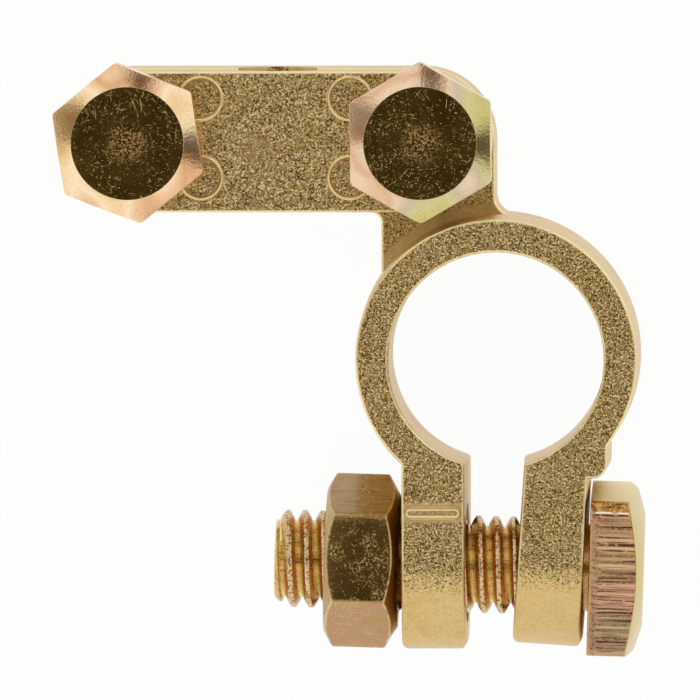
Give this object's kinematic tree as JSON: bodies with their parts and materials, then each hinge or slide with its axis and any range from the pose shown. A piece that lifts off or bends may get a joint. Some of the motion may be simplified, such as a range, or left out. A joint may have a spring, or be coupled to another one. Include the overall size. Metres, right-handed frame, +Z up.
{
  "type": "battery terminal clamp",
  "caption": "Split ring clamp for a tapered battery post, drawn shut by a cross bolt and nut, with a flat arm and a bolted strap that grip a bared cable.",
  "frame": {"origin": "on the axis of the post bore, half way up the ring", "axes": "+Z up along the post bore, away from the battery; +Y from the clamp bolt towards the cable arm; X across the slot between the ears, with the bolt's head on +X and the cable arm on -X"},
  "size_m": [0.0478, 0.0482, 0.0167],
  "materials": {
    "casting": "satin yellow chromate over a tumbled zinc casting",
    "strap_casting": "satin yellow chromate over a tumbled zinc casting",
    "strap_bolt": "yellow zinc plate with handling scratches",
    "clamp_bolt": "yellow zinc plate over a forged head with die lines",
    "clamp_nut": "yellow zinc plate with handling scratches"
  },
  "bodies": {
    "casting": {"clamp_body": "casting"},
    "strap": {"cable_strap": "strap_casting"},
    "left_strap_bolt": {"strap_bolt_left": "strap_bolt"},
    "right_strap_bolt": {"strap_bolt_right": "strap_bolt"},
    "cross_bolt": {"clamp_bolt": "clamp_bolt"},
    "nut": {"clamp_nut": "clamp_nut"}
  },
  "joints": [
    {"name": "strap_lift", "type": "slide", "parent": "casting", "child": "strap", "axis": [0, 0, 1], "range_m": [0, 0.005]},
    {"name": "strap_bolt_left_turn", "type": "hinge", "parent": "strap", "child": "left_strap_bolt", "pos_m": [-0.0297, 0.01753, 0.004], "axis": [0, 0, 1], "range_deg": [0, 1417.4]},
    {"name": "strap_bolt_right_turn", "type": "hinge", "parent": "strap", "child": "right_strap_bolt", "pos_m": [-0.00609, 0.01753, 0.004], "axis": [0, 0, 1], "range_deg": [0, 1417.4]},
    {"name": "clamp_nut_turn", "type": "hinge", "parent": "casting", "child": "nut", "pos_m": [0, -0.01698, 0], "axis": [-0.9995, 0.0312, 0], "range_deg": [-25.6, 1020.6]},
    {"name": "clamp_bolt_slide", "type": "slide", "parent": "casting", "child": "cross_bolt", "axis": [0.9995, -0.0312, 0], "range_m": [-0.0001, 0.004]}
  ],
  "couplings": [
    {"joint": "strap_bolt_left_turn", "follows": "strap_lift", "rad_per_m": 4947.4},
    {"joint": "strap_bolt_right_turn", "follows": "strap_lift", "rad_per_m": 4947.4},
    {"joint": "clamp_nut_turn", "follows": "clamp_bolt_slide", "rad_per_m": 4452.7}
  ]
}
